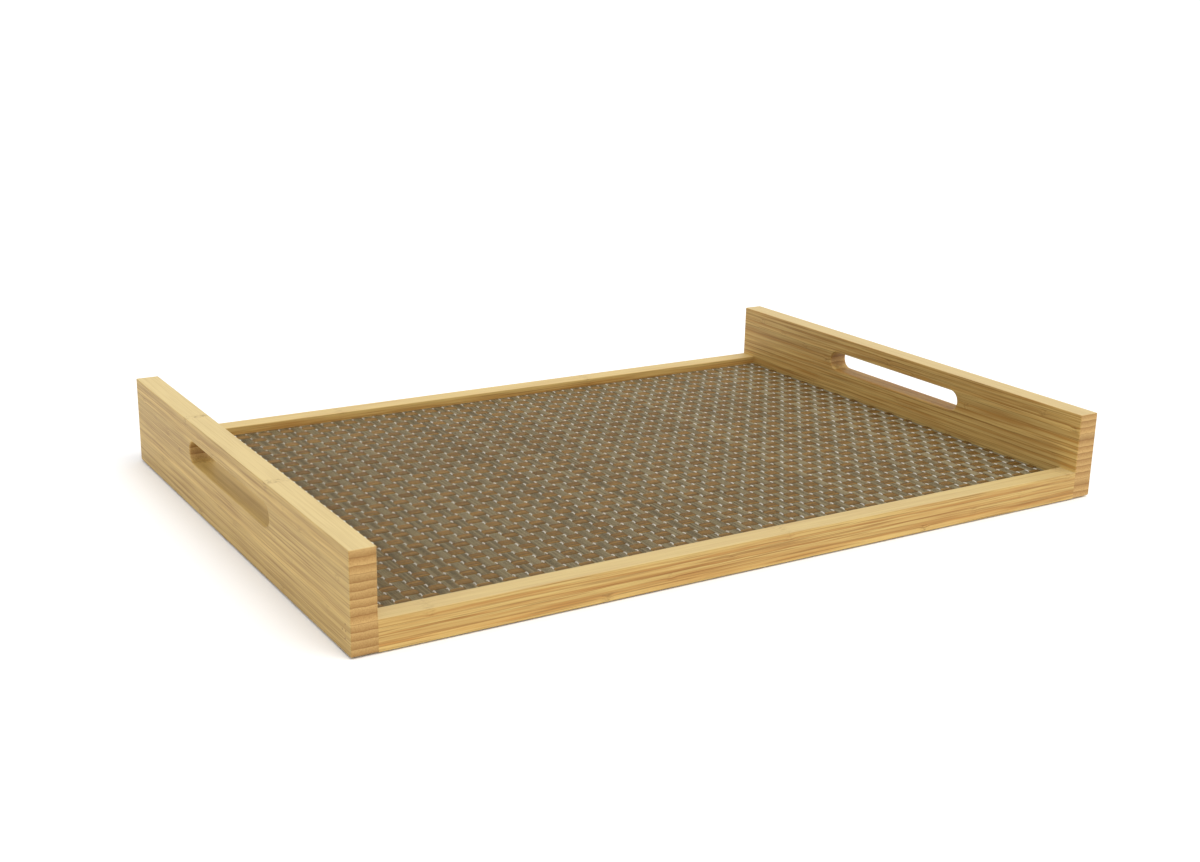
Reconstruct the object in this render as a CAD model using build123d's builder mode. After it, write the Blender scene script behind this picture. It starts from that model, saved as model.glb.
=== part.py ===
"""A laminated bamboo serving tray: two tall end panels with handle slots, two low rails between
them, a base board held in grooves, and a woven vinyl mat laid on the board.

Millimetres. X runs along the tray from the left end to the right one, Y from front to back and
Z up. The origin is on the table, under the middle of the tray.
"""

import os

from build123d import *

os.makedirs("parts", exist_ok=True)

# Overall size
tray_length = 584.0
tray_width = 406.0
pad_thickness = 1.0  # the anti-slip pads hold the wood this far off the table

# End panels
panel_thickness = 16.5
panel_height = 63.5
panel_foot_radius = 1.5  # the two bottom corners of each end panel
edge_easing = 0.7  # sanded rounding of the edges that hands reach

# Handle slots, cut right through the end panels
slot_length = 155.0
slot_height = 16.0
slot_middle_above_foot = 42.0
slot_easing = 1.0

# Rails
rail_thickness = 15.5
rail_height = 20.0
rail_easing = 0.7

# Base board, held in grooves on all four sides
board_thickness = 6.0
board_above_foot = 6.4
tongue_depth = 5.0
groove_depth = 5.5  # half a millimetre is left for the board to swell

# Woven mat
mat_thickness = 2.0
mat_gap = 0.5  # between the mat's edge and the frame

# Dowels, two in each corner, clear of the groove
dowel_diameter = 6.0
dowel_length = 30.0
dowel_chamfer = 0.5
dowel_in_panel = 11.5
dowel_end_gap = 0.5
dowel_from_outer_face = 5.0
dowel_heights = {"lower": 5.5, "upper": 14.5}  # above the foot of the wood

# Anti-slip pads
pad_diameter = 12.0
pad_from_end = 25.0

# Worked out from the sizes above
half_length = tray_length / 2
half_width = tray_width / 2
inner_half_length = half_length - panel_thickness
inner_half_width = half_width - rail_thickness
board_bottom = pad_thickness + board_above_foot
board_top = board_bottom + board_thickness
rail_top = pad_thickness + rail_height
slot_middle = pad_thickness + slot_middle_above_foot
dowel_row = half_width - dowel_from_outer_face
sides = {"left": -1, "right": 1}
rows = {"front": -1, "back": 1}


def keep(builder, node):
    """Labels a finished piece and writes it to its own file."""
    builder.part.label = node
    export_step(builder.part, f"parts/{node}.step")


def inner_face_plane(side, height):
    """The plane of an end panel's inner face, facing outwards, its origin at that height."""
    return Plane((side * inner_half_length, 0, height), x_dir=(0, side, 0), z_dir=(side, 0, 0))


def end_panel(side):
    """One end panel. side is -1 at the left end and 1 at the right end."""
    inner_face = inner_face_plane(side, 0)

    # Level with the rails the panel is square inside, where they butt, and eased outside
    with BuildPart() as lower:
        with BuildSketch(inner_face_plane(side, pad_thickness)) as profile:
            Rectangle(tray_width, rail_height, align=(Align.CENTER, Align.MIN))
            fillet(profile.vertices().group_by(Axis.Y)[0], radius=panel_foot_radius)
        extrude(amount=panel_thickness)
        outer_face = lower.faces().sort_by(Axis.X)[0 if side < 0 else -1]
        fillet(outer_face.edges().sort_by(Axis.Z)[:-1], radius=edge_easing)

    # Above the rails every edge is eased
    with BuildPart() as panel:
        with BuildSketch(inner_face_plane(side, rail_top)):
            Rectangle(tray_width, panel_height - rail_height, align=(Align.CENTER, Align.MIN))
        extrude(amount=panel_thickness)
        fillet(panel.edges().sort_by(Axis.Z)[4:], radius=edge_easing)

        # The handle slot, with both its rims eased
        with BuildSketch(inner_face):
            with Locations((0, slot_middle)):
                SlotOverall(slot_length, slot_height)
        extrude(amount=panel_thickness, mode=Mode.SUBTRACT)
        for rim in [face.inner_wires()[0] for face in panel.faces() if face.inner_wires()]:
            fillet(rim.edges(), radius=slot_easing)
        add(lower.part)

        # The stopped groove that holds the base board
        with BuildSketch(inner_face):
            with Locations((0, board_bottom + board_thickness / 2)):
                Rectangle(2 * (inner_half_width + groove_depth), board_thickness)
        extrude(amount=groove_depth, mode=Mode.SUBTRACT)

        # Blind holes for the dowels
        with BuildSketch(inner_face):
            for row in rows.values():
                for height in dowel_heights.values():
                    with Locations((row * dowel_row, pad_thickness + height)):
                        Circle(dowel_diameter / 2)
        extrude(amount=dowel_in_panel + dowel_end_gap, mode=Mode.SUBTRACT)
    return panel


def rail(row):
    """One low rail. row is -1 at the front and 1 at the back."""
    hole_depth = dowel_length - dowel_in_panel + dowel_end_gap
    inner_y = row * inner_half_width
    with BuildPart() as strip:
        with BuildSketch(Plane.YZ.offset(-inner_half_length)) as section:
            with Locations((inner_y + row * rail_thickness / 2, pad_thickness + rail_height / 2)):
                Rectangle(rail_thickness, rail_height)
            fillet(section.vertices(), radius=rail_easing)
            with Locations((inner_y + row * groove_depth / 2, board_bottom + board_thickness / 2)):
                Rectangle(groove_depth, board_thickness, mode=Mode.SUBTRACT)
        extrude(amount=2 * inner_half_length)

        # Blind holes for the dowels in both ends
        for side in sides.values():
            with BuildSketch(Plane.YZ.offset(side * inner_half_length)):
                for height in dowel_heights.values():
                    with Locations((row * dowel_row, pad_thickness + height)):
                        Circle(dowel_diameter / 2)
            extrude(amount=-side * hole_depth, mode=Mode.SUBTRACT)
    return strip


# End panels
for side_name, side in sides.items():
    keep(end_panel(side), f"{side_name}_end_panel")

# Rails
for row_name, row in rows.items():
    keep(rail(row), f"{row_name}_rail")

# Base board, with a tongue's width in the groove on each side
with BuildPart() as base_board:
    with BuildSketch(Plane.XY.offset(board_bottom)):
        Rectangle(2 * (inner_half_length + tongue_depth), 2 * (inner_half_width + tongue_depth))
    extrude(amount=board_thickness)
keep(base_board, "base_board")

# Woven mat, laid on the board inside the frame
with BuildPart() as woven_mat:
    with BuildSketch(Plane.XY.offset(board_top)):
        Rectangle(2 * (inner_half_length - mat_gap), 2 * (inner_half_width - mat_gap))
    extrude(amount=mat_thickness)
keep(woven_mat, "woven_mat")

# Dowels, two across each of the four joints
for side_name, side in sides.items():
    for row_name, row in rows.items():
        for level, height in dowel_heights.items():
            dowel_start = side * (inner_half_length + dowel_in_panel)
            dowel_plane = Plane(
                (dowel_start, row * dowel_row, pad_thickness + height), x_dir=(0, 1, 0), z_dir=(-side, 0, 0)
            )
            with BuildPart() as dowel:
                with BuildSketch(dowel_plane):
                    Circle(dowel_diameter / 2)
                extrude(amount=dowel_length)
                chamfer(dowel.edges().filter_by(GeomType.CIRCLE), length=dowel_chamfer)
            keep(dowel, f"dowel_{side_name}_{row_name}_{level}")

# Anti-slip pads under the ends of the end panels
for side_name, side in sides.items():
    for row_name, row in rows.items():
        pad_place = (side * (half_length - panel_thickness / 2), row * (half_width - pad_from_end))
        with BuildPart() as pad:
            with BuildSketch():
                with Locations(pad_place):
                    Circle(pad_diameter / 2)
            extrude(amount=pad_thickness)
        keep(pad, f"pad_{side_name}_{row_name}")
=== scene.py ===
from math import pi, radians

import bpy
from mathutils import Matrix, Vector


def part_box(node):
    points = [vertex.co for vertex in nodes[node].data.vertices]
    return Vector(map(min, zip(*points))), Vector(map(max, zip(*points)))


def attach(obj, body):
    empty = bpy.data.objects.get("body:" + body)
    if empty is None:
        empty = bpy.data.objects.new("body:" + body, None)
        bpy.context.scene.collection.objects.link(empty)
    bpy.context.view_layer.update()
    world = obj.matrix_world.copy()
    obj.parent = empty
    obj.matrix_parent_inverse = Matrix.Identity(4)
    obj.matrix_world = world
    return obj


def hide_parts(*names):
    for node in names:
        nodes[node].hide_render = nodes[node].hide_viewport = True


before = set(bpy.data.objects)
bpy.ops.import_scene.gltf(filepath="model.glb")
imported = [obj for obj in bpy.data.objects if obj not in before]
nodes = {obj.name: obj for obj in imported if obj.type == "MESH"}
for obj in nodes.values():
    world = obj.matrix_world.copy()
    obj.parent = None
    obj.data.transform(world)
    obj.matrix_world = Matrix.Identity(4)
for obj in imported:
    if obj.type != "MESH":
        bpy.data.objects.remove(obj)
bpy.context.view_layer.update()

# %% [markdown]
# A bamboo serving tray. The frame is the CAD model: two end panels with handle slots, two
# rails, a base board, dowels and pads. Those pieces keep their shape and get their finishes
# here. The mat in the well is a plain slab in the CAD model, so it is woven here, yarn by yarn.
# Everything is in metres. X runs along the tray, Y from front to back and Z up.

MM = 0.001
print("CAD pieces:", len(nodes))

# %% [markdown]
# The camera looks down on the tray from beyond its front left corner. It could be aimed with a
# Track To constraint, but a fixed turn in three steps keeps the slight roll of a hand-held
# camera: first about its own line of sight, then up from the floor, then round to the right.

# %% Camera
camera_place = Vector((-0.595, -0.9445, 0.373))
camera_right = radians(31.87)
camera_down = radians(16.76)
camera_roll = radians(1.26)
lens_mm = 47.03

camera_data = bpy.data.cameras.new("camera")
camera_data.lens = lens_mm
camera = bpy.data.objects.new("camera", camera_data)
bpy.context.scene.collection.objects.link(camera)
camera.matrix_world = (
    Matrix.Translation(camera_place)
    @ Matrix.Rotation(-camera_right, 4, "Z")
    @ Matrix.Rotation(pi / 2 - camera_down, 4, "X")
    @ Matrix.Rotation(camera_roll, 4, "Z")
)
bpy.context.scene.camera = camera
print("camera height:", round(camera_place.z, 3), "m, lens:", lens_mm, "mm")

# %% [markdown]
# A bright, even studio. The key light comes from high up in front of the tray and a little from
# the right, so the tops and the long front face are bright and the faces that look left are in
# soft shade. A pale world fills the rest. The key is a sun with a wide angle: its shadows are as
# soft as a large softbox gives, and it lights a big floor evenly, which a lamp near the tray
# doesn't.
#
# Blender's usual film-like view makes colours paler. A product picture needs the colours as they
# are, so the plain view is used.

# %% Light
key_from = Vector((0.1, -0.5, 0.85))
fill_strength = 0.8

key = bpy.data.lights.new("key", "SUN")
key.energy = 1.75
key.angle = radians(50)
key_lamp = bpy.data.objects.new("key", key)
key_lamp.rotation_euler = key_from.to_track_quat("Z", "Y").to_euler()
bpy.context.scene.collection.objects.link(key_lamp)

world = bpy.data.worlds.new("studio")
world.use_nodes = True
background = world.node_tree.nodes["Background"]
background.inputs["Color"].default_value = (1, 1, 1, 1)
background.inputs["Strength"].default_value = fill_strength
bpy.context.scene.world = world
bpy.context.scene.view_settings.view_transform = "Standard"
print("key light:", key.energy, "fill:", fill_strength)

# %% [markdown]
# Colours are written as sRGB hex, as a paint chart gives them, and turned to the linear values
# that a shader works in.

# %% Colour
def linear(hex_colour):
    """An sRGB hex colour as a linear RGBA tuple."""
    parts = [int(hex_colour[i : i + 2], 16) / 255 for i in (1, 3, 5)]
    return tuple(c / 12.92 if c <= 0.04045 else ((c + 0.055) / 1.055) ** 2.4 for c in parts) + (1,)


print("mid grey:", [round(part, 3) for part in linear("#808080")[:3]])

# %% [markdown]
# One small helper adds a node with its settings and its links, so that a material reads from top
# to bottom like a recipe. Inputs are given by name or by number: a Map Range takes its value at
# 0, what that runs between at 1 and 2, and what it gives at 3 and 4. A Mix takes its factor at
# 0, numbers at 2 and 3, and colours at 6 and 7.

# %% Node helpers
def new_material(name):
    """An empty material with its Principled shader linked to the output."""
    material = bpy.data.materials.new(name)
    material.use_nodes = True
    return material, material.node_tree.nodes["Principled BSDF"]


def node(material, kind, inputs=None, **settings):
    """Adds a shader node. An input is a value, or an output of another node to link from."""
    tree = material.node_tree
    added = tree.nodes.new("ShaderNode" + kind)
    for name, value in settings.items():
        setattr(added, name, value)
    for socket, value in (inputs or {}).items():
        if isinstance(value, bpy.types.NodeSocket):
            tree.links.new(value, added.inputs[socket])
        else:
            added.inputs[socket].default_value = value
    return added.outputs


def link(material, output, shader, socket):
    """Links an output to one of the shader's sockets."""
    material.node_tree.links.new(output, shader.inputs[socket])


# %% [markdown]
# The frame is laminated bamboo: strips about 5 mm thick, laid flat on each other and glued.
# Their edges show as bands on the long faces, with a thin glue line between. The ends show the
# cut fibre bundles as specks, and the top is the broad face of the last strip, which is paler.
# Each strip has knots, called nodes, a hand's breadth or two apart.
#
# An image texture could hold all that, but it would stretch round the corners. Here one solid
# pattern fills the wood in three directions, drawn out along the strips, so that every face,
# edge and slot wall cuts through the same strips and shows them as the real wood does.
#
# The recipe is a row of short steps, one to a cell.

# %% Bamboo's sizes and colours
strip_mm = 4.9
foot_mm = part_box("left_end_panel")[0].z / MM
pale_bamboo = linear("#D2B36C")
brown_fibre = linear("#7A5120")
node_brown = linear("#75501F")
top_bamboo = linear("#D6C18B")
end_pale = linear("#C49F62")
end_dense = linear("#9B723B")
print("foot of the wood:", round(foot_mm, 2), "mm, strips:", strip_mm, "mm")


def drawn_to(lengths):
    """The Mapping scale that draws a pattern out to these lengths along each axis."""
    return tuple(1 / length for length in lengths)


# %% [markdown]
# What is particular to one piece of the frame is kept together, and each step of the recipe
# adds the patterns that it makes to it, for the next steps to use. A long list of arguments from
# step to step would do the same, but it would be hard to read. What a piece starts with is:
#
# - turned, for strips that run from front to back
# - top_strip, the number of its highest strip, counted from 0
# - node_at and node_gap, the place of one node of the top strip and the spacing of its nodes, in
#   millimetres along the strips
# - tan, the colour of its streaks, figure, how strongly they show, and shade, its darkness
# - top_pale, how much paler its top is
# - seed, which shifts its patterns, and pores, the (along, 0, height) of open pores

# %% What is particular to a piece
class Wood:
    """One piece of the frame: its settings, and the patterns made for it so far."""

    def __init__(
        self, turned, top_strip, node_at, node_gap, tan, figure, top_pale, seed, shade=1.0, pores=()
    ):
        self.turned, self.top_strip = turned, top_strip
        self.node_at, self.node_gap = node_at, node_gap
        self.tan, self.figure, self.shade = tan, figure, shade
        self.top_pale, self.seed, self.pores = top_pale, seed, pores


# %% [markdown]
# First comes each point's place. It is taken in millimetres, with X along the strips and Z up
# from the foot of the wood, so the pattern of an end panel is turned to run from front to back.
# The height divided by the thickness of a strip gives the strip's number, and what is left over
# gives the place in it. Pressed strips are never quite straight, so a slow noise bends them.

# %% Lay the strips
bend_lengths_mm = (26, 7, 12)
most_bend_mm = 0.3
strip_margin = 0.02  # a share of a strip that keeps the outermost faces inside their strips


def lay_strips(material, wood):
    """Adds the place in the piece, the strip's number, the place in it and its chance numbers."""
    places = node(material, "TexCoord")
    wood.normal = places["Normal"]
    wood.turn = (0, 0, -pi / 2 if wood.turned else 0)
    in_mm = node(material, "VectorMath", {0: places["Object"], 3: 1 / MM}, operation="SCALE")[0]
    laid = node(material, "Mapping", {0: in_mm, "Rotation": wood.turn})[0]
    wood.along, wood.across, height = node(material, "SeparateXYZ", {0: laid})
    wood.from_foot = node(material, "Math", {0: height, 1: foot_mm}, operation="SUBTRACT")[0]

    bend_inputs = {0: laid, "Location": (wood.seed, 0, 0), "Scale": drawn_to(bend_lengths_mm)}
    bend_place = node(material, "Mapping", bend_inputs)[0]
    bend = node(material, "TexNoise", {"Vector": bend_place, "Scale": 1, "Detail": 1})[0]
    bend_range = {0: bend, 1: 0.25, 2: 0.75, 3: -most_bend_mm, 4: most_bend_mm}
    bent = node(material, "MapRange", bend_range)[0]
    bent = node(material, "Math", {0: wood.from_foot, 1: bent}, operation="ADD")[0]

    in_strips = node(material, "Math", {0: bent, 1: strip_mm}, operation="DIVIDE")[0]
    last_place = wood.top_strip + 1 - strip_margin
    in_strips = node(material, "Clamp", {0: in_strips, 1: strip_margin, 2: last_place})[0]
    wood.strip = node(material, "Math", {0: in_strips}, operation="FLOOR")[0]
    wood.in_strip = node(material, "Math", {0: in_strips}, operation="FRACT")[0]
    strip_seed = node(material, "CombineXYZ", {0: wood.strip, 1: wood.seed, 2: 0.5})[0]
    wood.chance = node(material, "TexWhiteNoise", {"Vector": strip_seed}, noise_dimensions="3D")


# %% [markdown]
# A node is where the hollow stem was closed by a wall. The strips of one stem have their nodes
# at nearly equal steps, and the maker lays the strips so that the nodes don't line up. Nodes
# could be painted one by one. A ping-pong of the distance along the strip is simpler: it falls
# to nothing at each node. Some nodes show clearly and some hardly at all.

# %% Space out the nodes
strip_shift = 0.82  # each strip's nodes are shifted by this share of their spacing
node_reach_mm = 6


def space_nodes(material, wood):
    """Adds the distance to the strip's nearest node, how near that is, and how well it shows."""
    below_top = node(material, "Math", {0: wood.strip, 1: wood.top_strip}, operation="SUBTRACT")[0]
    shift = node(material, "Math", {0: below_top, 1: strip_shift}, operation="MULTIPLY")[0]
    from_node = node(material, "Math", {0: wood.along, 1: wood.node_at}, operation="SUBTRACT")[0]
    gap_inputs = {0: from_node, 1: 1 / wood.node_gap, 2: shift}
    gaps = node(material, "Math", gap_inputs, operation="MULTIPLY_ADD")[0]
    nearest = node(material, "Math", {0: gaps, 1: 0.5}, operation="PINGPONG")[0]
    wood.to_node = node(material, "Math", {0: nearest, 1: wood.node_gap}, operation="MULTIPLY")[0]
    near_range = {0: wood.to_node, 1: 0, 2: node_reach_mm, 3: 1, 4: 0}
    wood.near_node = node(
        material, "MapRange", near_range, interpolation_type="SMOOTHSTEP"
    )[0]

    shows = node(material, "SeparateColor", {0: wood.chance["Color"]})["Blue"]
    wood.shows = node(material, "MapRange", {0: shows, 1: 0.3, 2: 0.9, 3: 0.06, 4: 0.5})[0]


# %% [markdown]
# Three patterns make the figure, each drawn out along the strips. Soft streaks about 1.6 mm
# wide are the tone of the wood. Fine lines are its fibres, 0.8 mm apart because the real ones
# are too thin to show. Fibre bundles are cells 0.9 mm across: cut across they are the specks
# of the end grain, and cut along they are hair lines. Every strip takes its pattern from
# another place, so no line runs on from one strip to the next, and fibres swell round a node.

# %% Grow the fibres
streak_lengths_mm = (70, 3, 1.6)
fibre_lengths_mm = (80, 0.8, 0.8)
bundle_lengths_mm = (55, 0.9, 0.9)
swell_mm = 1.8
shuffle_mm = 80


def grow_fibres(material, wood):
    """Adds the strip's own pattern place, its streaks, fibres and fibre bundles."""
    swell = node(material, "Math", {0: wood.near_node, 1: wood.shows}, operation="MULTIPLY")[0]
    swell = node(material, "Math", {0: swell, 1: swell_mm}, operation="MULTIPLY")[0]
    swollen = node(material, "Math", {0: wood.from_foot, 1: swell}, operation="ADD")[0]
    shuffle_inputs = {0: wood.chance["Color"], 3: shuffle_mm}
    shuffled = node(material, "VectorMath", shuffle_inputs, operation="SCALE")[0]
    inside = node(material, "CombineXYZ", {0: wood.along, 1: wood.across, 2: swollen})[0]
    wood.own_place = node(material, "VectorMath", {0: inside, 1: shuffled}, operation="ADD")[0]

    streak_inputs = {0: wood.own_place, "Scale": drawn_to(streak_lengths_mm)}
    streak_place = node(material, "Mapping", streak_inputs)[0]
    streak_look = {"Vector": streak_place, "Scale": 1, "Detail": 4, "Distortion": 0.2}
    wood.streaks = node(material, "TexNoise", streak_look)[0]

    fibre_inputs = {0: wood.own_place, "Scale": drawn_to(fibre_lengths_mm)}
    fibre_place = node(material, "Mapping", fibre_inputs)[0]
    wood.fibres = node(material, "TexNoise", {"Vector": fibre_place, "Scale": 1, "Detail": 2})[0]

    bundle_inputs = {0: wood.own_place, "Scale": drawn_to(bundle_lengths_mm)}
    bundle_place = node(material, "Mapping", bundle_inputs)[0]
    bundles = node(material, "TexVoronoi", {"Vector": bundle_place, "Scale": 1})["Distance"]
    wood.bundles = node(material, "MapRange", {0: bundles, 1: 0.16, 2: 0.4, 3: 1, 4: 0})[0]


# %% [markdown]
# The same wood looks different on each side of a piece: specks on the ends, bands on the sides,
# and one broad pale strip on top. The surface's normal tells these faces apart, and the eased
# edges between them blend from one look to the next.

# %% Tell the faces apart
def sort_faces(material, wood):
    """Adds how far a point is on an end, on the top and on an upright side, from 0 to 1."""
    facing = node(material, "Mapping", {0: wood.normal, "Rotation": wood.turn})[0]
    facing_along, _, facing_up = node(material, "SeparateXYZ", {0: facing})
    end_on = node(material, "Math", {0: facing_along}, operation="ABSOLUTE")[0]
    wood.is_end = node(material, "MapRange", {0: end_on, 1: 0.5, 2: 0.9})[0]
    wood.is_top = node(material, "MapRange", {0: facing_up, 1: 0.5, 2: 0.95})[0]
    level = node(material, "Math", {0: facing_up}, operation="ABSOLUTE")[0]
    wood.is_side = node(material, "MapRange", {0: level, 1: 0.5, 2: 0.95, 3: 1, 4: 0})[0]


# %% [markdown]
# The ground colour goes from tan to pale with the streaks. A strip is denser and browner towards
# the skin of the stem, which may be its upper or its lower side, and each strip has a tone of
# its own. The ends are darker, because the eye looks into the open fibres, and the top is paler.

# %% Colour the ground
least_pale = 0.6
tone_range = (0.9, 1.07)


def colour_ground(material, wood):
    """Adds the colour of the wood without its brown marks."""
    up_chance = {0: wood.chance["Value"], 1: 0.5}
    skin_up = node(material, "Math", up_chance, operation="GREATER_THAN")[0]
    skin_down = node(material, "Math", {0: 1, 1: wood.in_strip}, operation="SUBTRACT")[0]
    to_skin = node(material, "Mix", {0: skin_up, 2: skin_down, 3: wood.in_strip})[0]

    # Streaks, fainter where the figure is weak
    dense_inputs = {0: to_skin, 1: -0.3, 2: wood.streaks}
    dense = node(material, "Math", dense_inputs, operation="MULTIPLY_ADD")[0]
    least = least_pale * (1 - wood.figure)
    streaky_range = {0: dense, 1: 0.14, 2: 0.52, 3: least, 4: 1 - least / 2}
    streaky = node(material, "MapRange", streaky_range)[0]
    ground_inputs = {0: streaky, 6: linear(wood.tan), 7: pale_bamboo}
    ground = node(material, "Mix", ground_inputs, data_type="RGBA")[2]

    # The ends
    packed_inputs = {0: to_skin, 1: 1.4, 2: wood.fibres}
    packed = node(material, "Math", packed_inputs, operation="MULTIPLY_ADD")[0]
    packed = node(material, "MapRange", {0: packed, 1: 0.4, 2: 2.0})[0]
    ends = node(material, "Mix", {0: packed, 6: end_pale, 7: end_dense}, data_type="RGBA")[2]
    ground = node(material, "Mix", {0: wood.is_end, 6: ground, 7: ends}, data_type="RGBA")[2]

    # The top
    strip_above = {0: wood.strip, 1: wood.top_strip - 0.5}
    in_top_strip = node(material, "Math", strip_above, operation="GREATER_THAN")[0]
    paler = node(material, "Math", {0: in_top_strip, 1: wood.top_pale}, operation="MULTIPLY")[0]
    on_top = node(material, "Math", {0: wood.is_top, 1: paler}, operation="MULTIPLY")[0]
    ground = node(material, "Mix", {0: on_top, 6: ground, 7: top_bamboo}, data_type="RGBA")[2]

    # Each strip's own tone, and the shade of the whole piece
    darkest, lightest = tone_range
    tone = node(material, "MapRange", {0: wood.chance["Value"], 3: darkest, 4: lightest})[0]
    tone = node(material, "Mix", {0: wood.is_top, 2: tone, 3: 1.0})[0]
    tone = node(material, "Math", {0: tone, 1: wood.shade}, operation="MULTIPLY")[0]
    wood.ground = node(material, "VectorMath", {0: ground, 3: tone}, operation="SCALE")[0]


# %% [markdown]
# Over the ground lie brown marks: fibres, fibre bundles, the glue lines between strips, and here
# and there an open pore, which is a small dark dot. The real glue line is a hair's breadth, and
# here it is half a millimetre wide so that it shows. Taking the strongest of all marks, instead
# of adding them up, keeps crossings from turning black.

# %% Mark fibres, glue lines and pores
glue_share = 0.08  # of a strip's thickness, on each side of the joint
pore_mm = (0.4, 0.85)  # from the middle, dark up to the first and gone at the second


def mark_wood(material, wood):
    """Adds how strongly brown marks show, and the ground with the marks on it."""
    fine_range = {0: wood.fibres, 1: 0.53, 2: 0.64, 3: 0, 4: 0.25 + 0.4 * wood.figure}
    fine = node(material, "MapRange", fine_range)[0]
    plain = node(material, "Math", {0: wood.is_top, 1: wood.is_end}, operation="MAXIMUM")[0]
    fading = node(material, "MapRange", {0: plain, 3: 1, 4: 0.3})[0]
    fine = node(material, "Math", {0: fine, 1: fading}, operation="MULTIPLY")[0]
    specks = node(material, "MapRange", {0: wood.is_end, 3: 0.16, 4: 0.22})[0]
    specks = node(material, "Math", {0: specks, 1: wood.bundles}, operation="MULTIPLY")[0]
    marks = node(material, "Math", {0: fine, 1: specks}, operation="MAXIMUM")[0]

    # Glue lines, on the upright faces only
    to_edge = node(material, "Math", {0: wood.in_strip, 1: 0.5}, operation="PINGPONG")[0]
    glue = node(material, "MapRange", {0: to_edge, 1: 0.0, 2: glue_share, 3: 1, 4: 0})[0]
    gluey_range = {0: wood.is_end, 3: 0.2 + 0.3 * wood.figure, 4: 0.62}
    gluey = node(material, "MapRange", gluey_range)[0]
    glued = node(material, "Math", {0: glue, 1: gluey}, operation="MULTIPLY")[0]
    glued = node(material, "Math", {0: glued, 1: wood.is_side}, operation="MULTIPLY")[0]
    marks = node(material, "Math", {0: marks, 1: glued}, operation="MAXIMUM")[0]

    # Open pores
    dark_to, gone_at = pore_mm
    on_face = node(material, "CombineXYZ", {0: wood.along, 2: wood.from_foot})[0]
    for pore in wood.pores:
        pore_inputs = {0: on_face, 1: pore}
        off_pore = node(material, "VectorMath", pore_inputs, operation="DISTANCE")["Value"]
        dot = node(material, "MapRange", {0: off_pore, 1: dark_to, 2: gone_at, 3: 0.85, 4: 0})[0]
        marks = node(material, "Math", {0: marks, 1: dot}, operation="MAXIMUM")[0]

    wood.marks = marks
    marked_inputs = {0: marks, 6: wood.ground, 7: brown_fibre}
    wood.marked = node(material, "Mix", marked_inputs, data_type="RGBA")[2]


# %% [markdown]
# A node shows as two thin dark lines across the strip, with lumpy, darker wood round them. The
# lines wander, because one noise pushes them about and makes the lumps too.

# %% Draw the nodes
lump_lengths_mm = (3, 1.6, 1.1)
line_wander_mm = 6
line_from_node_mm = 4.3
line_width_mm = 0.7


def draw_nodes(material, wood):
    """Adds the finished colour: the marked wood with its nodes drawn in."""
    lump_inputs = {0: wood.own_place, "Scale": drawn_to(lump_lengths_mm)}
    lump_place = node(material, "Mapping", lump_inputs)[0]
    lumps = node(material, "TexNoise", {"Vector": lump_place, "Scale": 1, "Detail": 3})[0]
    lumpy = node(material, "MapRange", {0: lumps, 1: 0.48, 2: 0.64})[0]
    knotty = node(material, "Math", {0: wood.near_node, 1: lumpy}, operation="MULTIPLY")[0]
    knotty = node(material, "Math", {0: knotty, 1: wood.shows}, operation="MULTIPLY")[0]

    wavy_inputs = {0: lumps, 1: line_wander_mm, 2: wood.to_node}
    wavy = node(material, "Math", wavy_inputs, operation="MULTIPLY_ADD")[0]
    to_line = node(material, "Math", {0: wavy, 1: line_from_node_mm}, operation="SUBTRACT")[0]
    off_line = node(material, "Math", {0: to_line}, operation="ABSOLUTE")[0]
    line = node(material, "MapRange", {0: off_line, 1: 0.0, 2: line_width_mm, 3: 0.3, 4: 0})[0]
    line = node(material, "Math", {0: line, 1: wood.shows}, operation="MULTIPLY")[0]

    knotted = node(material, "Math", {0: knotty, 1: line}, operation="MAXIMUM")[0]
    colour_inputs = {0: knotted, 6: wood.marked, 7: node_brown}
    wood.colour = node(material, "Mix", colour_inputs, data_type="RGBA")[2]


# %% [markdown]
# The steps come together in one material. The wood is sanded and has a satin lacquer, so its
# highlights are soft and the fibres still print through a little, in gloss and in relief. The
# IOR of 1.5 is that of lacquer.

# %% Laminated bamboo
lacquer_ior = 1.5


def laminated_bamboo(name, wood):
    """The material of one piece. `wood` holds what is particular to that piece."""
    material, shader = new_material(name)
    for step in (
        lay_strips, space_nodes, grow_fibres, sort_faces, colour_ground, mark_wood, draw_nodes
    ):
        step(material, wood)
    link(material, wood.colour, shader, "Base Color")

    gloss = node(material, "MapRange", {0: wood.fibres, 3: 0.42, 4: 0.56})[0]
    link(material, gloss, shader, "Roughness")
    relief = node(material, "Math", {0: wood.fibres, 1: wood.marks}, operation="SUBTRACT")[0]
    bump_inputs = {"Strength": 0.35, "Distance": 0.06 * MM, "Height": relief}
    link(material, node(material, "Bump", bump_inputs)["Normal"], shader, "Normal")
    shader.inputs["IOR"].default_value = lacquer_ior
    shader.inputs["Specular IOR Level"].default_value = 0.3
    return material


# %% [markdown]
# Each piece of the frame is cut from other strips, so each gets a bamboo of its own. One finish
# for all would be quicker, but two pieces of wood are never the same. Both end panels are glued
# up alike, and so are both rails, so what they share is written once.

# %% Give the frame its bamboo
def strips_in(piece):
    """How many strips a piece of the frame is glued up from."""
    return round((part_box(piece)[1].z / MM - foot_mm) / strip_mm)


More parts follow.
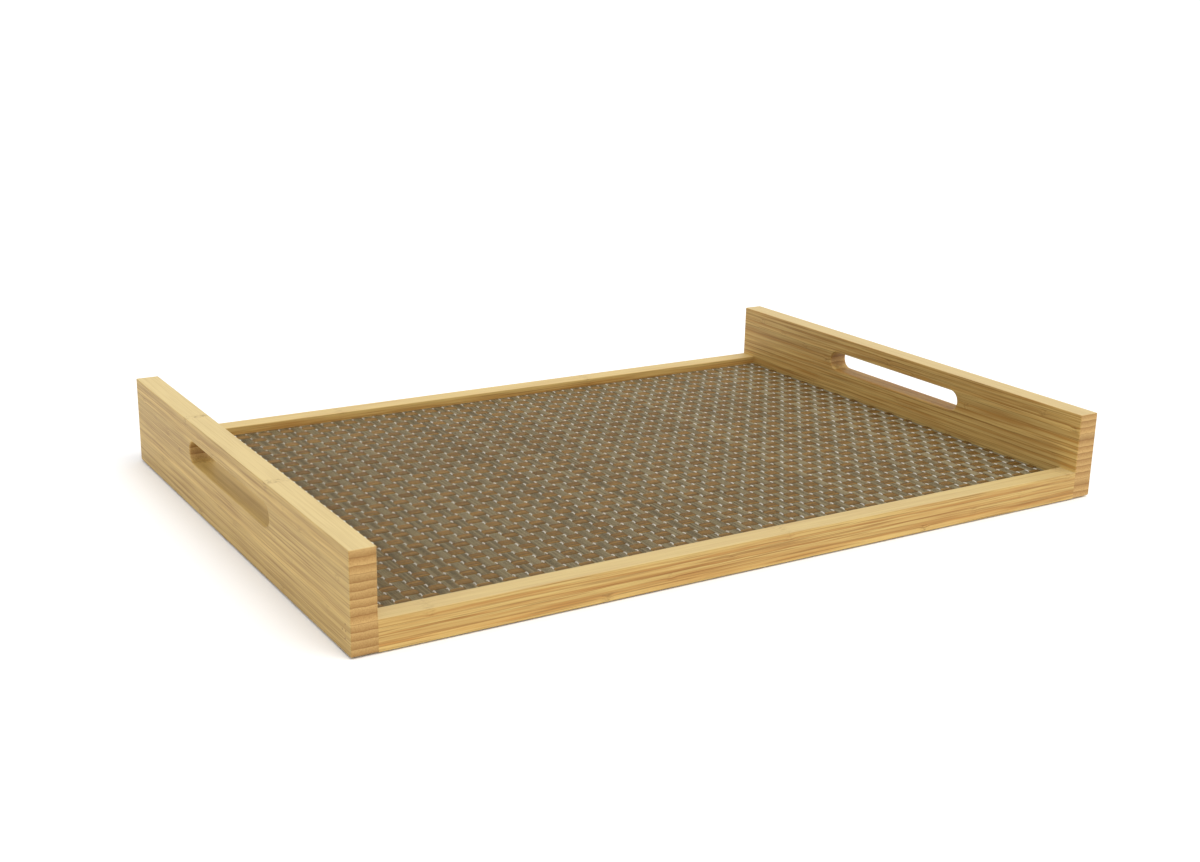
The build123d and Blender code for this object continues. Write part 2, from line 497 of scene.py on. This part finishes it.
panel = dict(turned=True, top_strip=strips_in("left_end_panel") - 1, top_pale=0.75)
rail = dict(turned=False, top_strip=strips_in("front_rail") - 1, figure=0.85)
corner_pores = ((-195.5, 0, 17.8), (-191.1, 0, 13.4), (-196.1, 0, 14.0), (-194.9, 0, 9.0))
frame_woods = {
    "left_end_panel": Wood(
        **panel, node_at=-72.7, node_gap=157, tan="#A27D3E", figure=0.55, seed=1.0,
        pores=corner_pores,
    ),
    "right_end_panel": Wood(
        **panel, node_at=35.0, node_gap=171, tan="#A87632", figure=0.75, seed=2.0
    ),
    "front_rail": Wood(
        **rail, node_at=12.0, node_gap=256, tan="#B48241", top_pale=0.55, seed=3.0, shade=0.92
    ),
    "back_rail": Wood(
        **rail, node_at=96.0, node_gap=231, tan="#B07F3C", top_pale=0.45, seed=4.0
    ),
}
for piece, wood in frame_woods.items():
    bamboo = laminated_bamboo("laminated_bamboo_" + piece, wood)
    for slot in nodes[piece].material_slots:
        slot.material = bamboo
    print(piece, "is glued up from", strips_in(piece), "strips")

# %% [markdown]
# The base board is thin bamboo plywood. Only its underside shows: rotary-cut veneer has broad,
# wavy figure along the board, where the frame has straight narrow lines. A wave texture would
# repeat too evenly, so the figure is a noise drawn out along the board and a little distorted.

# %% Base board plywood
figure_per_m = (4, 45, 45)  # features a quarter of a metre long and 22 mm wide
fibres_per_m = (30, 1100, 1100)  # lines 33 mm long and 0.9 mm apart

plywood, plywood_shader = new_material("bamboo_plywood")
plywood_place = node(plywood, "TexCoord")["Object"]
figure_place = node(plywood, "Mapping", {0: plywood_place, "Scale": figure_per_m})[0]
figure_look = {"Vector": figure_place, "Scale": 1, "Detail": 5, "Distortion": 0.4}
broad_figure = node(plywood, "TexNoise", figure_look)[0]
broad_figure = node(plywood, "MapRange", {0: broad_figure, 1: 0.3, 2: 0.7})[0]
veneer_colours = {0: broad_figure, 6: linear("#C79A5E"), 7: linear("#DDBB80")}
veneer = node(plywood, "Mix", veneer_colours, data_type="RGBA")[2]

hair_place = node(plywood, "Mapping", {0: plywood_place, "Scale": fibres_per_m})[0]
hairs = node(plywood, "TexNoise", {"Vector": hair_place, "Scale": 1, "Detail": 2})[0]
hair = node(plywood, "MapRange", {0: hairs, 1: 0.52, 2: 0.75, 3: 0, 4: 0.35})[0]
haired = node(plywood, "Mix", {0: hair, 6: veneer, 7: brown_fibre}, data_type="RGBA")[2]
link(plywood, haired, plywood_shader, "Base Color")
hair_bump = {"Strength": 0.3, "Distance": 0.05 * MM, "Height": hairs}
link(plywood, node(plywood, "Bump", hair_bump)["Normal"], plywood_shader, "Normal")
plywood_shader.inputs["Roughness"].default_value = 0.55
plywood_shader.inputs["IOR"].default_value = lacquer_ior

for slot in nodes["base_board"].material_slots:
    slot.material = plywood
print("plywood nodes:", len(plywood.node_tree.nodes))

# %% [markdown]
# The dowels are turned beech. They are inside the joints and hidden, but they are seen when the
# tray is taken apart. Beech is plain, with short dark flecks, 4 mm long and 0.4 mm apart.

# %% Dowels
flecks_per_m = (250, 2500, 2500)

beech, beech_shader = new_material("turned_beech")
beech_place = node(beech, "TexCoord")["Object"]
fleck_place = node(beech, "Mapping", {0: beech_place, "Scale": flecks_per_m})[0]
flecks = node(beech, "TexNoise", {"Vector": fleck_place, "Scale": 1, "Detail": 2})[0]
fleck = node(beech, "MapRange", {0: flecks, 1: 0.5, 2: 0.7, 3: 0, 4: 0.5})[0]
beech_colours = {0: fleck, 6: linear("#D6B48A"), 7: linear("#A97F55")}
beech_colour = node(beech, "Mix", beech_colours, data_type="RGBA")[2]
link(beech, beech_colour, beech_shader, "Base Color")
beech_shader.inputs["Roughness"].default_value = 0.6


def finish_all(start, finish):
    """Gives a finish to every CAD piece whose name starts with a word, and counts them."""
    chosen = [cad_node for name, cad_node in nodes.items() if name.startswith(start)]
    for cad_node in chosen:
        for slot in cad_node.material_slots:
            slot.material = finish
    print(start, "pieces:", len(chosen))


finish_all("dowel", beech)

# %% [markdown]
# The pads under the end panels are black rubber. It is matt, with a fine grain that breaks up
# its highlights. A dark grey noise gives both the grain's tone and its relief.

# %% Anti-slip pads
rubber_grains_per_m = 2500

rubber, rubber_shader = new_material("matt_rubber")
rubber_place = node(rubber, "TexCoord")["Object"]
grain_look = {"Vector": rubber_place, "Scale": rubber_grains_per_m, "Detail": 2}
grains = node(rubber, "TexNoise", grain_look)[0]
rubber_colours = {0: grains, 6: linear("#1B1A19"), 7: linear("#2B2A28")}
rubber_colour = node(rubber, "Mix", rubber_colours, data_type="RGBA")[2]
link(rubber, rubber_colour, rubber_shader, "Base Color")
grain_bump = {"Strength": 0.4, "Distance": 0.05 * MM, "Height": grains}
link(rubber, node(rubber, "Bump", grain_bump)["Normal"], rubber_shader, "Normal")
rubber_shader.inputs["Roughness"].default_value = 0.85
finish_all("pad", rubber)

# %% [markdown]
# The mat is woven from vinyl-coated yarn, like many table mats. It is a basket weave:
#
# - silver-grey warp yarns run from front to back, close together, five to a column
# - brown weft yarns run along the tray in bands of four
# - a band passes over one column and under the next, and the next band does the opposite, so
#   brown and silver squares alternate like a chequerboard
# - between bands all the warp comes to the top, and between columns one bright yarn shows there
#   as a short glint
#
# A bump map could draw that, but the yarns are about a millimetre wide, so light and shadow
# between them show at arm's length. Each yarn is therefore a real strand. One repeat is shaped
# from a bar, and Array modifiers lay it out, much as a loom repeats its pattern.

# %% Sizes of the weave
mat_low, mat_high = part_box("woven_mat")
column_pitch = 8.85 * MM
silver_in_column = 5
warp_pitch = column_pitch / (silver_in_column + 1)  # the bright yarn is the sixth
warp_width, warp_thickness = 0.8 * MM, 0.55 * MM
band_pitch = 11.35 * MM
brown_in_band = 4
weft_pitch = 1.9 * MM
weft_width, weft_thickness = 1.45 * MM, 0.7 * MM
first_column = mat_low.x - 2.55 * MM
first_band = mat_low.y - 4.1 * MM
columns = int((mat_high.x - first_column) / column_pitch) + 2
bands = int((mat_high.y - first_band) / band_pitch) + 2
print("columns:", columns, "bands:", bands)

# %% [markdown]
# An operator acts on whatever is selected, so two helpers select exactly what is meant: one
# object, or in edit mode the points that pass a test on their place. A third moves a finished
# mesh in edit mode, so that its object stays at the origin, where the export wants it.

# %% Select and place
def select_only(chosen):
    """Makes one object the only selected and active one."""
    bpy.ops.object.select_all(action="DESELECT")
    chosen.select_set(True)
    bpy.context.view_layer.objects.active = chosen


def select_points(test):
    """In edit mode, selects the vertices that pass a test on their place."""
    bpy.ops.mesh.select_all(action="DESELECT")
    bpy.ops.object.mode_set(mode="OBJECT")
    for vertex in bpy.context.object.data.vertices:
        vertex.select = test(vertex.co)
    bpy.ops.object.mode_set(mode="EDIT")


def place_at(piece, offset):
    """Moves a piece's mesh, so that its object stays at the origin."""
    select_only(piece)
    bpy.ops.object.mode_set(mode="EDIT")
    bpy.ops.mesh.select_all(action="SELECT")
    bpy.ops.transform.translate(value=offset)
    bpy.ops.object.mode_set(mode="OBJECT")


# %% [markdown]
# A strand starts as a bar. Its ends are taken off and its top is drawn in, which makes the
# section an arch with a flat back, and it is cut into lengths. Each ring of points is then lifted
# to its own height, and the bar has become a yarn that dives under its neighbours and comes up.
# A bevelled curve would do too, but it makes many more faces than a thousand yarns can afford.

# %% Shape a strand
top_share = 0.52  # how wide the top of the section is, against its back
ring_reach = 0.01 * MM


def strand(name, width, thickness, stations):
    """One repeat of a yarn along Y. stations are (place along it, height), and the last of
    them repeats the first."""
    start, end = stations[0][0], stations[-1][0]
    bpy.ops.object.select_all(action="DESELECT")
    bpy.ops.mesh.primitive_cube_add(size=1)
    bar = bpy.context.object
    bar.name = name
    bpy.ops.object.mode_set(mode="EDIT")
    bpy.ops.transform.resize(value=(width, end - start, thickness))
    bpy.ops.transform.translate(value=(0, (start + end) / 2, 0))

    # Off with the two end faces, so that the repeats join into one tube
    bpy.ops.mesh.select_mode(type="FACE")
    bpy.ops.mesh.select_all(action="DESELECT")
    bpy.ops.object.mode_set(mode="OBJECT")
    for face in bar.data.polygons:
        face.select = abs(face.normal.y) > 0.5
    bpy.ops.object.mode_set(mode="EDIT")
    bpy.ops.mesh.delete(type="ONLY_FACE")

    # Draw in the top, to round the section
    bpy.ops.mesh.select_mode(type="VERT")
    select_points(lambda co: co.z > 0)
    bpy.ops.transform.resize(value=(top_share, 1, 1))

    # A cut across the bar at every station between its ends
    for place, _ in stations[1:-1]:
        bpy.ops.mesh.select_all(action="SELECT")
        bpy.ops.mesh.bisect(plane_co=(0, place, 0), plane_no=(0, 1, 0))

    # Each ring goes to its own height
    for place, height in stations:
        select_points(lambda co: abs(co.y - place) < ring_reach)
        bpy.ops.transform.translate(value=(0, 0, height))
    bpy.ops.object.mode_set(mode="OBJECT")
    return bar


# %% [markdown]
# An Array modifier lays out equal copies of a strand and joins those that meet end to end. The
# woven layer is made a little too large, and then cut along the four edges of the mat, as a real
# mat is cut from the roll. Closing the cut ends keeps each yarn solid.

# %% Repeat and trim
join_reach = 0.02 * MM


def repeat(piece, count, step):
    """Lays out copies of a piece at equal steps, joined where they meet."""
    select_only(piece)
    bpy.ops.object.modifier_add(type="ARRAY")
    array = piece.modifiers[-1]
    array.use_relative_offset = False
    array.use_constant_offset = True
    array.constant_offset_displace = step
    array.count = count
    array.use_merge_vertices = True
    array.merge_threshold = join_reach
    bpy.ops.object.modifier_apply(modifier=array.name)


def trim_to_mat(piece):
    """Cuts a woven layer along the four edges of the mat, and closes the cut ends."""
    select_only(piece)
    bpy.ops.object.mode_set(mode="EDIT")
    for corner, outwards in (
        (mat_low, (-1, 0, 0)),
        (mat_high, (1, 0, 0)),
        (mat_low, (0, -1, 0)),
        (mat_high, (0, 1, 0)),
    ):
        bpy.ops.mesh.select_all(action="SELECT")
        bpy.ops.mesh.bisect(plane_co=corner, plane_no=outwards, use_fill=True, clear_outer=True)
    bpy.ops.object.mode_set(mode="OBJECT")
    bpy.ops.object.shade_smooth()
    piece.data.calc_loop_triangles()
    print(piece.name, "triangles:", len(piece.data.loop_triangles))


# %% [markdown]
# Heights are measured up from the underside of the mat, whose 2 mm hold a thin backing, the
# lower yarns and the upper yarns. The silver warp dives under every second brown band. Its
# highest points are over the gaps between bands, where it is pressed up.

# %% Silver warp
over, dip, under = 1.36 * MM, 1.26 * MM, 0.62 * MM
gap_half = 1.9 * MM
slope = 1.1 * MM
bend_back, bend_drop = 0.3 * MM, 0.14 * MM  # where the yarn starts to turn down
silver_stations = [
    (0, over),
    (band_pitch / 2, dip),
    (band_pitch, over),
    (band_pitch + gap_half - bend_back, over - bend_drop),
    (band_pitch + gap_half + slope, under),
    (2 * band_pitch - gap_half - slope, under),
    (2 * band_pitch - gap_half + bend_back, over - bend_drop),
    (2 * band_pitch, over),
]
warp_layers = []
for parity, layer_name in enumerate(("mat_warp_even_columns", "mat_warp_odd_columns")):
    warp = strand(layer_name, warp_width, warp_thickness, silver_stations)
    repeat(warp, bands // 2 + 2, (0, 2 * band_pitch, 0))
    repeat(warp, silver_in_column, (warp_pitch, 0, 0))
    repeat(warp, columns // 2 + 1, (2 * column_pitch, 0, 0))
    place_at(
        warp,
        (
            first_column + warp_pitch + parity * column_pitch,
            first_band - (1 + parity) * band_pitch,
            mat_low.z,
        ),
    )
    trim_to_mat(warp)
    warp_layers.append(warp)

# %% [markdown]
# The bright yarn between columns floats only over the gaps between bands, so it shows as a row
# of short glints. Its nearly white colour is partly a painted highlight on those glints. It stands
# a little higher than the silver warp beside it.

# %% Bright warp
glint_top = over + 0.2 * MM
glint_edge = over - 0.06 * MM
sunk = 0.45 * MM
edge_at, sunk_at = 1.5 * MM, 2.7 * MM  # from the middle of a gap
glint_stations = [
    (0, glint_top),
    (edge_at, glint_edge),
    (sunk_at, sunk),
    (band_pitch - sunk_at, sunk),
    (band_pitch - edge_at, glint_edge),
    (band_pitch, glint_top),
]
bright_warp = strand("mat_warp_bright", warp_width, warp_thickness, glint_stations)
repeat(bright_warp, bands + 2, (0, band_pitch, 0))
repeat(bright_warp, columns + 1, (column_pitch, 0, 0))
place_at(bright_warp, (first_column, first_band - band_pitch, mat_low.z))
trim_to_mat(bright_warp)
warp_layers.append(bright_warp)

# %% [markdown]
# The brown weft runs the other way. A strand is shaped along Y like the others and then turned
# to lie along X. In a band of four, every strand rises over the same columns.

# %% Brown weft
crown, shoulder, low = 1.52 * MM, 1.42 * MM, 0.5 * MM
shoulder_at, low_at = 0.45, 0.62  # columns from the crown
brown_stations = [
    (0, crown),
    (shoulder_at * column_pitch, shoulder),
    (low_at * column_pitch, low),
    ((2 - low_at) * column_pitch, low),
    ((2 - shoulder_at) * column_pitch, shoulder),
    (2 * column_pitch, crown),
]
band_middle = (brown_in_band - 1) / 2 * weft_pitch
weft_layers = []
for parity, layer_name in enumerate(("mat_weft_even_bands", "mat_weft_odd_bands")):
    weft = strand(layer_name, weft_width, weft_thickness, brown_stations)
    bpy.ops.object.mode_set(mode="EDIT")
    bpy.ops.mesh.select_all(action="SELECT")
    bpy.ops.transform.rotate(value=pi / 2, orient_axis="Z", center_override=(0, 0, 0))
    bpy.ops.object.mode_set(mode="OBJECT")
    place_at(weft, (-min(vertex.co.x for vertex in weft.data.vertices), 0, 0))
    repeat(weft, columns // 2 + 2, (2 * column_pitch, 0, 0))
    repeat(weft, brown_in_band, (0, weft_pitch, 0))
    repeat(weft, bands // 2 + 2, (0, 2 * band_pitch, 0))
    place_at(
        weft,
        (
            first_column + (parity - 1.5) * column_pitch,
            first_band + (parity - 1.5) * band_pitch - band_middle,
            mat_low.z,
        ),
    )
    trim_to_mat(weft)
    weft_layers.append(weft)

# %% [markdown]
# Under the yarns lies a thin vinyl film, the one continuous sheet of the mat, and the yarns go
# with it. Its dark colour is painted shade, for what shows in the holes between the yarns.

# %% Backing
backing_thickness = 0.25 * MM
bpy.ops.object.select_all(action="DESELECT")
bpy.ops.mesh.primitive_grid_add(x_subdivisions=24, y_subdivisions=16, size=1)
backing = bpy.context.object
backing.name = "mat_backing"
bpy.ops.object.mode_set(mode="EDIT")
bpy.ops.mesh.select_all(action="SELECT")
bpy.ops.transform.resize(value=(mat_high.x - mat_low.x, mat_high.y - mat_low.y, 1))
bpy.ops.transform.translate(value=(0, 0, mat_low.z + backing_thickness))
bpy.ops.object.mode_set(mode="OBJECT")
bpy.ops.object.modifier_add(type="SOLIDIFY")
solidify = backing.modifiers[-1]
solidify.thickness = backing_thickness
solidify.offset = -1
bpy.ops.object.modifier_apply(modifier=solidify.name)
print("mat:", [round(size / MM, 1) for size in mat_high - mat_low], "mm")

# %% [markdown]
# Vinyl yarn is a polyester thread inside a smooth plastic coat, so it has a soft gloss that
# follows every bend. The silver yarn has pearl pigment in its coat. Each yarn differs a little
# in tone, because it comes off its own spool, and the coat is faintly mottled.

# %% Vinyl yarn
mottle_per_m = 900  # patches about 1.1 mm across
vinyl_ior = 1.53


def vinyl_yarn(name, dark, light, across, pitch, roughness, pearl):
    """A vinyl-coated yarn. across is the axis that the yarns are spaced along, and pitch is
    their spacing."""
    material, shader = new_material(name)
    places = node(material, "TexCoord")["Object"]
    apart = node(material, "SeparateXYZ", {0: places})[across]
    spool = node(material, "Math", {0: apart, 1: pitch}, operation="DIVIDE")[0]
    spool = node(material, "Math", {0: spool}, operation="ROUND")[0]
    chance = node(material, "TexWhiteNoise", {"W": spool}, noise_dimensions="1D")["Value"]
    mottle_place = node(material, "VectorMath", {0: places, 3: mottle_per_m}, operation="SCALE")[0]
    mottle = node(material, "TexNoise", {"Vector": mottle_place, "Scale": 1, "Detail": 3})[0]
    mixed = node(material, "Math", {0: chance, 1: 0.55, 2: mottle}, operation="MULTIPLY_ADD")[0]
    tone = node(material, "MapRange", {0: mixed, 1: 0.35, 2: 1.2})[0]
    colour = node(material, "Mix", {0: tone, 6: dark, 7: light}, data_type="RGBA")[2]
    link(material, colour, shader, "Base Color")
    bump_inputs = {"Strength": 0.3, "Distance": 0.06 * MM, "Height": mottle}
    link(material, node(material, "Bump", bump_inputs)["Normal"], shader, "Normal")
    shader.inputs["Roughness"].default_value = roughness
    shader.inputs["Metallic"].default_value = pearl
    shader.inputs["IOR"].default_value = vinyl_ior
    shader.inputs["Specular IOR Level"].default_value = 0.25
    return material


# %% [markdown]
# Three yarns come from that recipe. The silver one is a warm grey-brown with a little pearl, the
# bright one is pale and the smoothest, and the brown one is plain. The bright one's nearly white
# colour is partly its own and partly a painted highlight, the glint on its humps.

# %% Finish the yarns
silver_yarn = vinyl_yarn(
    "silver_vinyl_yarn",
    linear("#6C5E42"), linear("#B5A680"), across=0, pitch=warp_pitch, roughness=0.42, pearl=0.15,
)
glint_painted_yarn = vinyl_yarn(
    # Painted highlight in part: these nearly white colours carry the glint on the yarn's humps.
    "pale_vinyl_yarn_painted_glint",
    linear("#DCD7C8"), linear("#F4F1E8"), across=0, pitch=column_pitch, roughness=0.3, pearl=0.1,
)
brown_yarn = vinyl_yarn(
    "brown_vinyl_yarn",
    linear("#583F1A"), linear("#916E34"), across=1, pitch=weft_pitch, roughness=0.45, pearl=0.05,
)
for layer in warp_layers:
    layer.data.materials.append(glint_painted_yarn if layer is bright_warp else silver_yarn)
for layer in weft_layers:
    layer.data.materials.append(brown_yarn)
print("yarn layers:", len(warp_layers) + len(weft_layers))

# %% [markdown]
# The film behind the yarns is matt vinyl with a faint grain. Its dark brown is painted shade.

# %% Finish the backing
film_grains_per_m = 900

film, film_shader = new_material("vinyl_film_painted_shade")
film_place = node(film, "TexCoord")["Object"]
film_look = {"Vector": film_place, "Scale": film_grains_per_m, "Detail": 2}
film_grain = node(film, "TexNoise", film_look)[0]
# Painted shade: these near-black browns darken the holes between the yarns.
film_shade_colours = {0: film_grain, 6: linear("#261B0D"), 7: linear("#3D2C15")}
film_shade_colour = node(film, "Mix", film_shade_colours, data_type="RGBA")[2]
link(film, film_shade_colour, film_shader, "Base Color")
film_shader.inputs["Roughness"].default_value = 0.7
backing.data.materials.append(film)

# %% [markdown]
# The woven layers and the backing stand in for the CAD slab and move with the tray's one body.
# The mat is cut to the size of the well and laid on the board.

# %% Hand the mat over
yarn_layers = warp_layers + weft_layers
for piece in [backing] + yarn_layers:
    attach(piece, "root")
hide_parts("woven_mat")

# %% [markdown]
# The floor is a wide pale sheet, as in a product studio. It isn't part of the tray.

# %% Floor
floor_size = 60
bpy.ops.object.select_all(action="DESELECT")
bpy.ops.mesh.primitive_plane_add(size=floor_size)
floor = bpy.context.object
floor.name = "studio_floor"
paper, paper_shader = new_material("white_paper")
paper_shader.inputs["Base Color"].default_value = linear("#FDFDFD")
paper_shader.inputs["Roughness"].default_value = 0.9
floor.data.materials.append(paper)
print("floor:", floor_size, "m square")
